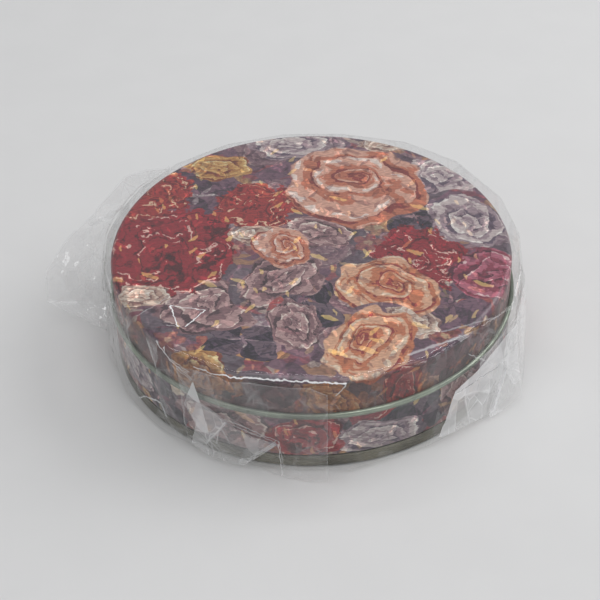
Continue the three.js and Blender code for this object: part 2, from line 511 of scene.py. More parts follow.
# Paints from the deepest to the palest, then the flowers laid in them. Each placed flower has its
# centre x and y, half width and half height, all in millimetres, and its turn in degrees.
LID_FLOWERS = {
    ("leaves", "plum"): [
        (-43, 33, 20, 18, 20), (50, -37, 17, 14, 100), (-20, -83, 14, 10, 0), (58, -64, 14, 11, 60)
    ],
    ("leaves", "slate"): [(-2, -33, 19, 12, 60), (-24, -54, 16, 11, 10), (40, 16, 14, 12, 200)],
    ("ruffles", "lilac"): [
        (-38, -34, 20, 17, 0), (-11, -21, 19, 14, 140), (-6, -46, 15, 10, 80), (2, 8, 15, 10, 20)
    ],
    ("ruffles", "pearl"): [(53, 43, 15, 14, 30), (60, 13, 19, 14, 250), (-8, 67, 18, 10, 0)],
    ("mums", "crimson"): [(-56, -2, 28, 30, 0), (41, -9, 20, 17, 60)],
    ("mums", "scarlet"): [(-64, 36, 18, 18, 30), (-21, 25, 17, 15, 10)],
    ("ruffles", "magenta"): [(67, -20, 15, 18, 90)],
    ("ruffles", "gold"): [
        (-44, -69, 15, 12, 0), (8, -86, 14, 9, 30), (88, 6, 12, 12, 0), (-36, 52, 15, 9, 0)
    ],
    ("ruffles", "crimson"): [(36, -78, 14, 9, 50), (74, 46, 12, 10, 0), (-84, -26, 11, 12, 0)],
    ("ruffles", "cream"): [(-62, -29, 12, 7, 0), (36, -45, 11, 8, 40), (-22, 7, 9, 6, 0), (30, 66, 11, 6, 0)],
    ("roses", "peach"): [(17, 38, 29, 28, 0), (-11, -1, 13, 11, 70)],
    ("roses", "apricot"): [(27, -27, 20, 18, 20), (20, -57, 21, 16, 300)],
}


WALL_FLOWERS = {
    ("leaves", "slate"): [
        (-60, 14, 16, 12, 40), (38, 15, 15, 12, 0), (96, 12, 17, 12, 90), (-128, 14, 16, 12, 10)
    ],
    ("ruffles", "lilac"): [
        (-34, 15, 19, 12, 0), (58, 15, 16, 10, 60), (-92, 13, 18, 11, 90), (142, 15, 18, 11, 0)
    ],
    ("ruffles", "pearl"): [
        (24, 11, 19, 9, 10), (76, 16, 14, 9, 120), (-78, 17, 13, 9, 0), (-160, 12, 18, 9, 50)
    ],
    ("ruffles", "crimson"): [
        (-3, 15, 14, 11, 0), (118, 14, 16, 11, 30), (-112, 15, 13, 10, 0), (190, 14, 18, 11, 0)
    ],
}


def lay_flowers(t, groups, plane, ground, placed, seed):
    """Lays each kind of placed flower over the ground, in order."""
    colour = ground
    for (kind, name), places in placed.items():
        local, chance = (9.0, 9.0, 0.0), 0.0
        for i, (x, y, half_x, half_y, turn) in enumerate(places):
            local, chance = t.group(
                groups["place"],
                {
                    "Vector": plane,
                    "Local So Far": local,
                    "Seed So Far": chance,
                    "Place": (x, y, 0),
                    "Half Size": (half_x, half_y, 1),
                    "Turn": math.radians(turn),
                    "Seed": seed + 3.7 * i,
                },
            )
        made = t.group(groups[kind], {"Local": local, "Seed": chance, **paints(name)})
        colour = t.mix(made["Mask"], colour, made["Colour"])
        seed += 11.3
    return colour


def strew_flowers(t, groups, plane, ground, kind, name, other, spacing, size, seed, share):
    """Strews one kind of flower over the ground in two sets of paints, at a share of its places."""
    strewn = t.group(groups["strew"], {"Vector": plane, "Spacing": spacing, "Size": size, "Seed": seed})
    chance = t.channels(strewn["Random"])
    second = t.maths("GREATER_THAN", chance[1], 0.5)
    mixed = {k: t.mix(second, v, paints(other)[k]) for k, v in paints(name).items()}
    made = t.group(groups[kind], {"Local": strewn["Local"], "Seed": strewn["Seed"], **mixed})
    shown = t.times(made["Mask"], t.maths("LESS_THAN", chance[2], share))
    return t.mix(shown, ground, made["Colour"])


def make_groups():
    groups = {"warp": warp_group(), "steps": steps_group(), "place": place_group(), "strew": scatter_group()}
    groups["lid_plane"], groups["wall_plane"] = place_plane_groups()
    groups["crease"], groups["facets"], groups["dabs"] = crease_group(), facets_group(), dabs_group()
    for kind, make in (
        ("ground", ground_group),
        ("roses", rose_group),
        ("mums", mum_group),
        ("ruffles", ruffle_group),
        ("leaves", leaf_group),
        ("blossoms", blossom_group),
    ):
        groups[kind] = make(groups)
    return groups


def empty_material(name):
    material = bpy.data.materials.new(name)
    material.use_nodes = True
    material.node_tree.nodes.clear()
    return material, Tree(material.node_tree)


def new_material(name):
    material, t = empty_material(name)
    surface = t.add("ShaderNodeBsdfPrincipled")
    t.tree.links.new(surface.outputs[0], t.add("ShaderNodeOutputMaterial").inputs["Surface"])
    return material, t, surface.inputs


def print_material(name, groups, radius, on_lid, seed):
    """Lithographed tinplate: opaque paints under a clear varnish, with painted shade darkening the lid's
    turned-down side.
    """
    material, t, surface = new_material(name)
    place = t.add("ShaderNodeTexCoord").outputs["Object"]
    if on_lid:
        plane = t.group(groups["lid_plane"], {"Object": place, "Top": frame_top()})[0]
    else:
        plane = t.group(groups["wall_plane"], {"Object": place, "Radius": radius})[0]
    colour = t.group(groups["ground"], {"Plane": plane, "Seed": seed, "Length": 1.5})[0]
    colour = strew_flowers(t, groups, plane, colour, "leaves", "teal", "plum", 25.0, 14.0, seed + 1, 0.6)
    other = "pearl" if on_lid else "crimson"
    colour = strew_flowers(t, groups, plane, colour, "ruffles", "lilac", other, 30.0, 12.0, seed + 2, 0.7)
    colour = strew_flowers(t, groups, plane, colour, "blossoms", "gold", "brick", 14.0, 7.0, seed + 3, 0.5)
    colour = lay_flowers(t, groups, plane, colour, LID_FLOWERS if on_lid else WALL_FLOWERS, seed)
    streaks = t.noise(t.vectors("MULTIPLY", plane, (0.5, 1.3, 1.0)), 1.0, 3.0)
    shade = t.between(streaks, 0.25, 0.75, 0.48, 0.79)
    colour = t.mix(1.0, colour, t.joined(shade, shade, shade), "MULTIPLY")
    colour = t.group(groups["dabs"], {"Plane": plane, "Seed": seed, "Colour": colour})[0]
    if on_lid:
        # Painted shade: the print on the lid's side, below its top edge, is darkened as if it lay in shade.
        painted_side_shade = t.between(t.parts(place)[2], frame_top() - 3 * MM, frame_top() - 1 * MM, 1.0, 0.0)
        colour = t.mix(painted_side_shade, colour, (0.66, 0.45, 0.38), "MULTIPLY")
    t.feed(surface["Base Color"], colour)
    t.feed(surface["Roughness"], t.between(t.noise(plane, 0.25, 3.0), 0.3, 0.7, 0.34, 0.46))
    surface["Coat Weight"].default_value = 0.25
    surface["Coat Roughness"].default_value = 0.18
    relief = t.add(
        "ShaderNodeBump", {"Strength": 0.08, "Distance": 0.0002, "Height": t.noise(plane, 1.6, 2.0)}
    )
    t.feed(surface["Normal"], relief.outputs[0])
    return material


def frame_top():
    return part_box("lid")[1][2]


def plain_material(name, code, metal, smooth, rough):
    """Plain tinplate under a thin lacquer, with fine rolling lines and handling marks."""
    material, t, surface = new_material(name)
    place = t.add("ShaderNodeTexCoord").outputs["Object"]
    grain = t.noise(t.vectors("MULTIPLY", place, (60.0, 60.0, 2600.0)), 1.0, 3.0)
    blotch = t.noise(place, 70.0, 3.0)
    dark = [c * 0.6 for c in paint(code)]
    pale = [min(1, c * 1.35) for c in paint(code)]
    t.feed(surface["Base Color"], t.mix(t.between(blotch, 0.3, 0.7), dark, pale))
    t.feed(surface["Roughness"], t.between(grain, 0.3, 0.7, smooth, rough))
    surface["Metallic"].default_value = metal
    relief = t.add("ShaderNodeBump", {"Strength": 0.15, "Distance": 0.0001, "Height": grain})
    t.feed(surface["Normal"], relief.outputs[0])
    return material


# Turned sheet metal ----------------------------------------------------------


SPIN_STEPS = 180
SHARP_ANGLE = math.radians(35)


def arc(out, up, radius, start, end, steps):
    """Points of a round bend, in degrees, both ends included."""
    angles = [math.radians(start + (end - start) * i / steps) for i in range(steps + 1)]
    return [(out + radius * math.cos(a), up + radius * math.sin(a)) for a in angles]


def turned_sheet(name, path, gauge, outside, inside, printed):
    """Spins a path of (radius, height) into sheet metal. printed(place) says which faces are printed."""
    bm = bmesh.new()
    points = [bm.verts.new((radius, 0, height)) for radius, height in path]
    edges = [bm.edges.new(pair) for pair in zip(points, points[1:])]
    bmesh.ops.spin(
        bm,
        geom=points + edges,
        cent=(0, 0, 0),
        axis=(0, 0, 1),
        angle=TURN,
        steps=SPIN_STEPS,
        use_merge=True,
        use_duplicate=False,
    )
    bmesh.ops.remove_doubles(bm, verts=bm.verts, dist=1e-6)
    bmesh.ops.recalc_face_normals(bm, faces=bm.faces)
    for face in bm.faces:
        face.material_index = 0 if printed(face.calc_center_median()) else 1
    outer = set(bm.faces)
    bmesh.ops.solidify(bm, geom=bm.faces[:], thickness=gauge)
    for face in bm.faces:
        if face not in outer:
            face.material_index = 1
        face.smooth = True
    mesh = bpy.data.meshes.new(name)
    bm.to_mesh(mesh)
    bm.free()
    mesh.materials.append(outside)
    mesh.materials.append(inside)
    mesh.set_sharp_from_angle(angle=SHARP_ANGLE)
    piece = bpy.data.objects.new(name, mesh)
    bpy.context.collection.objects.link(piece)
    return piece


# The film wrap ---------------------------------------------------------------

# Main folds, round the tin from +X: turn and stand-off at the lid's edge, then turn, stand-off and
# height at the hem. Turns in degrees, the rest in millimetres.
FOLDS = (
    (4, 4.2, 5, 3.5, 2.0),
    (21, 5.0, 22, 4.0, 2.0),
    (42, 5.5, 40, 5.0, 2.0),
    (60, 4.5, 63, 4.0, 2.0),
    (80, 2.0, 78, 3.0, 1.5),
    (98, 2.0, 100, 3.0, 1.5),
    (116, 2.5, 114, 3.5, 2.0),
    (134, 3.0, 133, 5.0, 3.0),
    (149, 3.0, 149, 6.0, 3.0),
    (161, 3.0, 163, 6.0, 3.0),
    (172, 3.0, 177, 5.0, 2.2),
    (186, 2.5, 192, 3.5, 1.2),
    (200, 2.2, 207, 3.0, 1.2),
    (214, 2.5, 217, 3.0, 1.0),
    (231, 2.8, 228, 3.0, 1.0),
    (249, 3.0, 245, 3.0, 1.0),
    (279, 3.0, 279, 3.5, 1.0),
    (300, 2.8, 302, 3.0, 1.0),
    (331, 7.0, 332, 9.0, 1.5),
    (346, 4.8, 348, 6.0, 2.5),
)

# Loose layers over the hood: milkiness, then two edges that the layer runs between. Each edge is a
# row of (turn, height, reach); a point inside the hood is moved out onto it.
TAIL_EDGE = (
    (136, 41, 76), (139.5, 39.5, 84), (145, 37.5, 91), (157, 31, 93), (163, 25, 100),
    (172.5, 20, 105), (174.6, 8, 105), (178, 5, 92), (183, 4, 78.3),
)
TAIL_UNDER = [(turn, up - 0.5, out - 0.3) for turn, up, out in TAIL_EDGE]
LAYERS = (
    (0.04, [(136 + 6.4 * i, 41.1, 75.8) for i in range(9)], TAIL_EDGE),
    (0.04, [(138 + 5.5 * i, 3, 78) for i in range(9)], TAIL_UNDER),
    (
        0.015,
        [(233, 38, 77), (246, 40, 77), (259, 40, 77), (269, 40, 77), (273.5, 36.5, 77)],
        [(235, 3.5, 77), (248, 0.7, 79), (256, 0.7, 78), (263, 0.6, 81), (273, 0.6, 83)],
    ),
    (
        0.24,
        [(240, 24.3, 78), (250, 19, 79), (260.6, 14.2, 79)],
        [(236.4, 3.8, 79), (244, 2.0, 80), (251.9, 2.8, 80)],
    ),
    (
        0.3,
        [(238, 33.4, 78), (240.5, 24, 79), (242.9, 13.4, 80)],
        [(237.6, 33, 78), (234.9, 21.7, 79), (240, 14.5, 80)],
    ),
    (0.06, [(345, 37, 81), (331, 38, 83), (318, 30, 79)], [(341, 3, 84), (331, 1.0, 87), (317, 1.0, 80)]),
    (0.2, [(331, 24, 84), (325, 22, 81)], [(331, 1.5, 88), (320, 1.2, 83)]),
    (
        0.4,
        [(309, 22.5, 79), (319, 26, 79), (331, 35, 81), (343, 40, 80)],
        [(304, 4, 79), (315, 2, 80), (330, 2, 84), (343, 3, 83)],
    ),
)

# Painted glints: white lines drawn on the film where its creases catch the light, each with its strength and
# half width, then their ends. Those on the lid are at (x, y), those on the wall at (distance round the wall
# from the front, height).
LID_GLINTS = (
    (0.8, 0.22, (-50.4, -35.0), (-37.8, -37.9)),
    (0.9, 0.32, (-37.8, -37.9), (-44.5, -46.5)),
    (0.9, 0.32, (-50.4, -35.0), (-47.0, -46.5)),
    (0.3, 0.25, (-46.8, -46.5), (-51.0, -45.5)),
    (0.25, 0.3, (-62.0, -40.0), (-54.0, -33.0)),
    (0.35, 0.9, (33.0, -63.5), (60.0, -50.5)),
    (0.5, 0.5, (60.0, -50.5), (72.0, -39.6)),
    (0.22, 0.5, (45.0, -52.0), (66.0, -44.0)),
)
WALL_GLINTS = (
    (1.0, 0.35, (-31.0, 40.9), (11.0, 40.9)),
    (0.9, 0.3, (-36.0, 39.4), (-31.0, 40.9)),
    (0.9, 0.3, (-38.5, 40.2), (-36.0, 39.4)),
    (0.9, 0.3, (-43.0, 39.6), (-38.5, 40.2)),
    (0.6, 0.3, (-61.0, 41.3), (-45.0, 36.8)),
    (0.6, 0.3, (-57.0, 41.0), (-44.0, 33.8)),
    (0.4, 0.25, (-52.0, 37.0), (-45.0, 28.0)),
    (1.0, 1.0, (75.6, 19.0), (68.5, 1.0)),
    (0.6, 0.35, (86.0, 26.0), (82.0, 6.0)),
    (0.5, 0.3, (84.0, 39.0), (66.0, 26.0)),
    (0.6, 0.4, (79.0, 30.0), (74.0, 12.0)),
    (0.4, 0.3, (60.0, 34.0), (72.0, 22.0)),
    (0.6, 0.3, (11.0, 40.9), (7.5, 36.0)),
    (0.5, 0.3, (-44.0, 12.0), (-34.0, 5.0)),
    (0.6, 0.3, (-47.0, 5.0), (-40.0, 6.5)),
    (1.0, 0.45, (-73.4, 7.1), (-68.1, 11.5)),
    (1.0, 0.45, (-68.1, 11.5), (-60.0, 13.6)),
    (0.8, 0.4, (-60.0, 13.6), (-56.5, 9.5)),
    (0.5, 0.3, (-41.0, 24.3), (-13.0, 14.2)),
    (0.5, 0.3, (-13.0, 14.2), (-24.0, 3.0)),
    (0.4, 0.3, (-12.4, 14.0), (-11.0, 1.0)),
    (0.4, 0.25, (-90.0, 36.0), (-58.0, 16.0)),
    (0.4, 0.25, (-84.0, 26.0), (-52.0, 3.0)),
)


FILM_IOR = 1.53


def seeded(place, seed):
    """Smooth noise from -1 to 1 at a place in millimetres."""
    return noise.noise(Vector((place[0], place[1], seed)))


def zigzag(x):
    """A fold that rises and falls between 0 and 1 with sharp crests and valleys."""
    return abs(2 * (x - math.floor(x)) - 1)


# Crinkles: turn of the fold in radians, then its period and height in millimetres. They wander
# from their straight lines, and come in patches.
WANDER, WANDER_SPAN, PATCH_SPAN = 6, 22, 30
CRINKLES = ((0.35, 13.0, 0.5), (1.15, 9.0, 0.4), (-0.7, 17.0, 0.55), (2.1, 6.0, 0.22))


def crinkle(along, height):
    """How far crinkles lift the film at a place on the unrolled wall, in millimetres."""
    place = (along / WANDER_SPAN, height / WANDER_SPAN)
    bent_along = along + WANDER * seeded(place, 3.0)
    bent_height = height + WANDER * seeded(place, 9.0)
    lift = 0
    for turn, period, amount in CRINKLES:
        across = bent_along * math.cos(turn) + bent_height * math.sin(turn)
        lift += amount * zigzag(across / period)
    gate = 0.55 + 0.9 * seeded((along / PATCH_SPAN, height / PATCH_SPAN), 21.0)
    return lift * max(0.15, min(1.2, gate))


def on_plan(turn, reach):
    turn = math.radians(turn)
    return Vector((reach * math.cos(turn), reach * math.sin(turn)))


def wall_point(s, around, down):
    """A point of the hood's wall. around counts folds; down runs from the lid's edge, 0, to the hem, 1."""
    ends = []
    for fold in (int(around), int(around) + 1):
        turn, off, hem_turn, hem_off, hem_up = FOLDS[fold % len(FOLDS)]
        upper, lower = on_plan(turn, s.tin_radius + off * MM), on_plan(hem_turn, s.tin_radius + hem_off * MM)
        ends.append(Vector((*upper, s.crease_height)).lerp(Vector((*lower, hem_up * MM)), down))
    point = ends[0].lerp(ends[1], around - int(around))
    turn = math.atan2(point.y, point.x)
    lift = crinkle(turn * s.tin_radius / MM, point.z / MM) * min(1, 5 * down) * MM * s.crease_share
    bead = s.bead_stand * max(0.0, min(1.0, (s.bead_height + 5 * MM - point.z) / (4 * MM)))
    reach = max(point.xy.length + lift, s.tin_radius + s.clearance + bead)
    return Vector((*(point.xy.normalized() * reach), point.z))


# A loose layer stands up to this reach, so its crinkles stand out sideways, and lies flat from the next.
STANDS_TO, LIES_FROM = 81, 87


def over_hood(s, turn, height, reach):
    """A place of a loose layer, in millimetres and degrees, moved out onto the hood if it is inside it."""
    turns = [fold[0] for fold in FOLDS] + [FOLDS[0][0] + 360]
    turn = turn if turn >= turns[0] else turn + 360
    first = max(i for i in range(len(FOLDS)) if turns[i] <= turn)
    around = first + (turn - turns[first]) / (turns[first + 1] - turns[first])
    low = FOLDS[first][4]
    down = max(0.0, min(1.0, (s.crease_height / MM - height) / (s.crease_height / MM - low)))
    least = wall_point(s, around, down).xy.length + s.layer_gap
    lift = crinkle(turn * 1.6, 2 * height + reach) * MM
    flat = max(0.0, min(1.0, (reach - STANDS_TO) / (LIES_FROM - STANDS_TO)))
    plan = on_plan(turn, max(least, reach * MM) + 0.7 * (1 - flat) * lift)
    return Vector((*plan, height * MM + flat * lift))


def along_edge(edge, share):
    """A place part of the way along a row of places."""
    at = min(share * (len(edge) - 1), len(edge) - 1.001)
    return Vector(edge[int(at)]).lerp(Vector(edge[int(at) + 1]), at - int(at))


PUCKER = ((-50.4, -35.0), (-37.8, -37.9), (-46.0, -47.0))
PUCKER_SLOPE = 0.12


def pucker_lift(x, y):
    """How far the film over the lid stands up at its pucker."""
    corners = [Vector(c) for c in PUCKER]
    inside = []
    for first, second in zip(corners, corners[1:] + corners[:1]):
        side = (second - first).normalized()
        inside.append((Vector((x, y)) - first).cross(side))
    return max(0.0, min(inside)) * PUCKER_SLOPE * MM


def top_point(s, edge, out):
    """A point of the film over the lid, from the middle to its edge crease."""
    plan = edge.xy * out
    x, y = plan.x / MM, plan.y / MM
    creased = zigzag((x * 0.8 + y * 0.5) / 31 + seeded((x / 40, y / 40), 2.0))
    slack = 0.1 * (1 + seeded((x / 16, y / 16), 5.0)) + 0.1 * creased
    settled = s.top_height + (slack * MM + pucker_lift(x, y)) * (1 - out**8)
    sunk = (max(0.0, out - s.round_from) / (1 - s.round_from)) ** 2
    return Vector((*plan, settled + (edge.z - settled) * sunk))


def grid_part(bm, columns, rows, place, loose, milk):
    """Adds a grid to the mesh, puts each vertex where place(column, row) says and marks it."""
    made = bmesh.ops.create_grid(bm, x_segments=columns, y_segments=rows, size=1)["verts"]
    marks = [bm.verts.layers.float[name] for name in ("loose", "milk")]
    for v in made:
        column, row = (v.co.x + 1) / 2, (v.co.y + 1) / 2
        v.co = place(column, row)
        v[marks[0]] = loose(row)
        v[marks[1]] = milk


FREE_EDGE = 0.9
FULL_FOLD = math.radians(60)


def mark_folds(bm):
    """Stores how sharply the film is folded at each vertex; a free edge counts as a sharp fold."""
    mark = bm.verts.layers.float["fold"]
    for v in bm.verts:
        sharp = [FREE_EDGE if e.is_boundary else e.calc_face_angle(0.0) / FULL_FOLD for e in v.link_edges]
        v[mark] = min(1.0, max(sharp))


def film_mesh(s):
    """One sheet of film: over the lid, down the wall, with its loose layers."""
    bm = bmesh.new()
    for name in ("loose", "milk", "fold"):
        bm.verts.layers.float.new(name)
    count = len(FOLDS)

    def hood(column, row):
        around = min(column * count, count - 1e-6)
        if row < s.top_share:
            return top_point(s, wall_point(s, around, 0), (row / s.top_share) ** 0.8)
        return wall_point(s, around, (row - s.top_share) / (1 - s.top_share))

    grid_part(bm, count * s.steps, s.rows, hood, lambda row: 0.0 if row < s.top_share - 0.005 else 1.0, 0.0)
    bmesh.ops.remove_doubles(bm, verts=bm.verts, dist=0.00002)
    low, within = s.crease_height - 1.5 * MM, s.tin_radius - 1 * MM
    corner = [v for v in bm.verts if v.co.z > low and v.co.xy.length > within]
    for _ in range(s.corner_rounds):
        bmesh.ops.smooth_vert(bm, verts=corner, factor=0.5, use_axis_x=True, use_axis_y=True, use_axis_z=True)
    for milk, inner, outer in LAYERS:

        def layer(column, row, edges=(inner, outer)):
            place = along_edge(edges[0], column).lerp(along_edge(edges[1], column), row)
            return over_hood(s, *place)

        grid_part(bm, s.steps * 3, s.rows // 2, layer, lambda row: 1.0, milk)
    turn_outward(bm)
    mark_folds(bm)
    for face in bm.faces:
        face.smooth = True
    mesh = bpy.data.meshes.new("film_sheet")
    bm.to_mesh(mesh)
    bm.free()
    return mesh


def turn_outward(bm):
    """Turns every face away from the tin's middle."""
    middle = Vector((0, 0, frame_top() / 2))
    inward = [f for f in bm.faces if f.normal.dot(f.calc_center_median() - middle) < 0]
    bmesh.ops.reverse_faces(bm, faces=inward)


def crease_group():
    """A thin line between two places of a plane, as a mask for a painted crease glint."""
    takes = {"Plane": "v", "Start": "v", "End": "v", "Half Width": "f", "Strength": "f"}
    t, takes, gives = new_group("Crease Glint Line", takes, {"Mask": "f"})
    way = t.vectors("SUBTRACT", takes["End"], takes["Start"])
    off = t.vectors("SUBTRACT", takes["Plane"], takes["Start"])
    share = t.maths("DIVIDE", t.vectors("DOT_PRODUCT", off, way), t.vectors("DOT_PRODUCT", way, way))
    share = t.maths("MINIMUM", t.maths("MAXIMUM", share, 0.0), 1.0)
    apart = t.vectors("LENGTH", t.vectors("SUBTRACT", off, t.scaled(way, share)))
    line = t.between(t.maths("DIVIDE", apart, takes["Half Width"]), 0.3, 1.0, 1.0, 0.0)
    t.feed(gives["Mask"], t.times(line, takes["Strength"]))
    return t.tree


def facets_group():
    """Crumpled film: flat patches, each tilted its own way, as a tilt, a tone and its edges."""
    t, takes, gives = new_group(
        "Crumpled Facets", {"Object": "v", "Size": "f"}, {"Tilt": "v", "Tone": "f", "Edge": "f"}
    )
    wander = t.scaled(t.noise(takes["Object"], 40.0, 2.0, output="Color"), 0.006)
    place = t.vectors("MULTIPLY", t.vectors("ADD", takes["Object"], wander), (1.0, 1.0, 0.55))
    place = t.scaled(place, t.maths("DIVIDE", 1.0, takes["Size"]))
    cells = t.add("ShaderNodeTexVoronoi", {"Vector": place, "Scale": 1.0, "Randomness": 1.0}).outputs
    t.feed(gives["Tilt"], t.vectors("SUBTRACT", cells["Color"], (0.5, 0.5, 0.5)))
    t.feed(gives["Tone"], t.channels(cells["Color"])[1])
    edge = t.add(
        "ShaderNodeTexVoronoi",
        {"Vector": place, "Scale": 1.0, "Randomness": 1.0},
        feature="DISTANCE_TO_EDGE",
    )
    t.feed(gives["Edge"], t.between(edge.outputs[0], 0.01, 0.05, 1.0, 0.0))
    return t.tree


def crease_glints(t, group, plane, creases):
    """The brightest of all the painted crease glints on one plane."""
    ragged = t.scaled(t.vectors("SUBTRACT", t.noise(plane, 0.5, 2.0, output="Color"), (0.5, 0.5, 0.5)), 1.6)
    plane = t.vectors("MULTIPLY", t.vectors("ADD", plane, ragged), (1.0, 1.0, 0.0))
    lines = 0.0
    for strength, width, start, end in creases:
        ends = {"Start": (*start, 0.0), "End": (*end, 0.0)}
        mask = t.group(group, {"Plane": plane, "Half Width": width, "Strength": strength, **ends})[0]
        lines = t.maths("MAXIMUM", mask, lines)
    return lines


def film_material(s, groups):
    """Thin clear film: a faint reflection, a white haze in its loose layers, painted white highlights along
    its creases, folds and free edges, and little shade below it.
    """
    material, t = empty_material("clear_film")
    place = t.add("ShaderNodeTexCoord").outputs["Object"]
    fold, loose, milk = (
        t.add("ShaderNodeAttribute", attribute_name=name).outputs["Fac"] for name in ("fold", "loose", "milk")
    )
    big = t.group(groups["facets"], {"Object": place, "Size": 0.012})
    small = t.group(groups["facets"], {"Object": place, "Size": 0.0045})
    lid_plane = t.group(groups["lid_plane"], {"Object": place, "Top": s.top_height})[0]
    wall_plane = t.group(groups["wall_plane"], {"Object": place, "Radius": s.tin_radius + s.bead_stand})[0]
    # Painted glints: white lines drawn on the film where its creases catch the light.
    on_lid = crease_glints(t, groups["crease"], lid_plane, LID_GLINTS)
    on_wall = crease_glints(t, groups["crease"], wall_plane, WALL_GLINTS)
    drawn = t.mix_value(loose, on_lid, on_wall)

    patch = t.between(t.noise(place, 60.0, 2.0), 0.45, 0.65)
    crumpled = t.times(loose, t.between(milk, 0.0, 0.1, 0.5, 1.5))
    tone = t.times(t.between(big["Tone"], 0.65, 1.0, 0.0, 0.1), crumpled)
    # Painted highlight: thin white lines along the edges of the crumpled facets.
    ridge_glints = t.times(t.times(t.maths("MAXIMUM", big["Edge"], small["Edge"]), patch), crumpled)
    clouded = t.times(milk, t.between(big["Tone"], 0.1, 0.9, 0.45, 1.4))
    milk_and_glints = t.plus(t.plus(0.005, clouded), t.times(ridge_glints, 0.2))
    # Painted highlight: white along sharp folds and free edges, from the fold attribute.
    milk_and_glints = t.plus(t.plus(milk_and_glints, tone), t.between(fold, 0.35, 1.0, 0.0, 0.22))
    milk_and_glints = t.maths("MINIMUM", t.maths("MAXIMUM", milk_and_glints, t.times(drawn, 0.9)), 0.92)

    tilt = t.vectors("ADD", t.scaled(big["Tilt"], 0.5), t.scaled(small["Tilt"], 0.22))
    tilt = t.scaled(tilt, t.mix_value(loose, 0.05, 1.0))
    geometry = t.add("ShaderNodeNewGeometry").outputs
    normal = t.vectors("NORMALIZE", t.vectors("ADD", geometry["Normal"], tilt))
    clear = t.add("ShaderNodeBsdfTransparent", {"Color": (0.99, 0.99, 0.99)})
    gloss = t.add("ShaderNodeBsdfGlossy", {"Color": (1, 1, 1), "Roughness": 0.06, "Normal": normal})
    # The painted glints' white is shaded as if it faced upward, so it catches more light.
    glint_normal = t.vectors("NORMALIZE", t.vectors("ADD", normal, t.joined(z=t.times(drawn, 2.0))))
    white = t.add("ShaderNodeBsdfDiffuse", {"Color": s.milk_and_glint_colour, "Normal": glint_normal})
    bend = t.mix_value(geometry["Backfacing"], FILM_IOR, 1 / FILM_IOR)
    shine = t.add("ShaderNodeFresnel", {"IOR": bend, "Normal": normal}).outputs[0]
    film = t.add("ShaderNodeMixShader", {0: milk_and_glints, 1: clear.outputs[0], 2: white.outputs[0]})
    film = t.add("ShaderNodeMixShader", {0: shine, 1: film.outputs[0], 2: gloss.outputs[0]})
    shade = t.times(t.add("ShaderNodeLightPath").outputs["Is Shadow Ray"], 0.8)
    whole = t.add("ShaderNodeMixShader", {0: shade, 1: film.outputs[0], 2: clear.outputs[0]})
    t.tree.links.new(whole.outputs[0], t.add("ShaderNodeOutputMaterial").inputs["Surface"])
    return material


# Sizes and colours that a user would change ----------------------------------


class TinSizes(bpy.types.PropertyGroup):
    """The tin's sheet-metal sizes, as the frame has them."""

    gauge: length_property("Gauge", "Tinplate thickness", 0.3)
    lid_radius: length_property("Lid radius", "Outside of the lid's wall", 75)
    body_radius: length_property("Body radius", "Outside of the wall and of the base's skirt", 75.5)
    lid_corner: length_property("Lid corner", "Outside radius of the lid's top edge", 2.4)
    bead: length_property("Bead", "Outside radius of the lid's rolled bead", 1)
    shoulder: length_property("Shoulder", "Height at which the wall steps in to its neck", 24)
    margin: length_property("Plain margin", "Unprinted band below the shoulder", 0.9)
    neck_gap: length_property("Neck gap", "Lid's inside to the neck", 0.35)
    neck_top: length_property("Neck top", "Height of the neck's curled edge", 38.2)
    neck_curl: length_property("Neck curl", "Outside radius of the neck's curl", 0.9)
    skirt: length_property("Skirt", "Height of the base's skirt", 5.7)
    heel: length_property("Heel", "Outside radius of the base's heel", 1.4)
    rib_radius: length_property("Rib radius", "Middle of the base's stiffening rib", 58)


class FilmSettings(bpy.types.PropertyGroup):
    """How the clear film lies over the tin."""

    tin_radius: length_property("Tin radius", "Outside of the lid's wall, which the film hangs from", 75)
    clearance: length_property("Clearance", "Least space between film and tin", 0.45)
    bead_stand: length_property(
        "Bead stand", "How far the lid's bead and the wall stand out past its side", 1.75
    )
    bead_height: length_property("Bead height", "Middle of the lid's bead", 25.3)
    top_height: length_property("Top height", "Film over the lid, above the table", 41.85)
    crease_height: length_property("Crease height", "The fold round the lid's edge", 41.2)
    crease_share: FloatProperty(
        name="Creasing", description="How strongly the film is creased", default=1, min=0
    )
    layer_gap: length_property("Layer gap", "Least space between the hood and a loose layer", 0.35)
    top_share: FloatProperty(
        name="Top share", description="Share of rows on the lid", default=0.5, min=0.1, max=0.9
    )
    round_from: FloatProperty(
        name="Rounding", description="Where over the lid the film starts to bend", default=0.985
    )
    corner_rounds: IntProperty(
        name="Corner rounds", description="How often the lid's crease is smoothed", default=4, min=0
    )
    steps: IntProperty(name="Steps", description="Columns between two main folds", default=20, min=4)
    rows: IntProperty(name="Rows", description="Rows from the lid's middle to the hem", default=84, min=8)
    cut_width: length_property("Cut width", "Width of the flat film", 250)
    cut_length: length_property("Cut length", "Length of the flat film", 230)
    # The white of the film's haze, also used for its painted glints and fold highlights.
    milk_and_glint_colour: colour_property("Milk", "Film where it turns white at its folds", "fcfcfc")


class StudioSettings(bpy.types.PropertyGroup):
    """Where the camera stands, and how the light falls."""

    elevation: angle_property("Elevation", "Camera's height angle above the table", 39.08)
    distance: length_property("Distance", "Camera to the middle of the tin", 575.3)
    pan: angle_property("Pan", "Camera's turn to the side", -0.4525)
    tilt: angle_property("Tilt", "Camera's turn upward", 0.4775)
    roll: angle_property("Roll", "Camera's turn about its view", 1.08)
    lens: FloatProperty(name="Lens", description="Focal length in millimetres", default=90, min=10)
    floor_colour: colour_property("Floor", "Pale paper floor", "d6d6d5")
    light_colour: colour_property("Light", "Soft window light", "fffeff")


# Operators -------------------------------------------------------------------


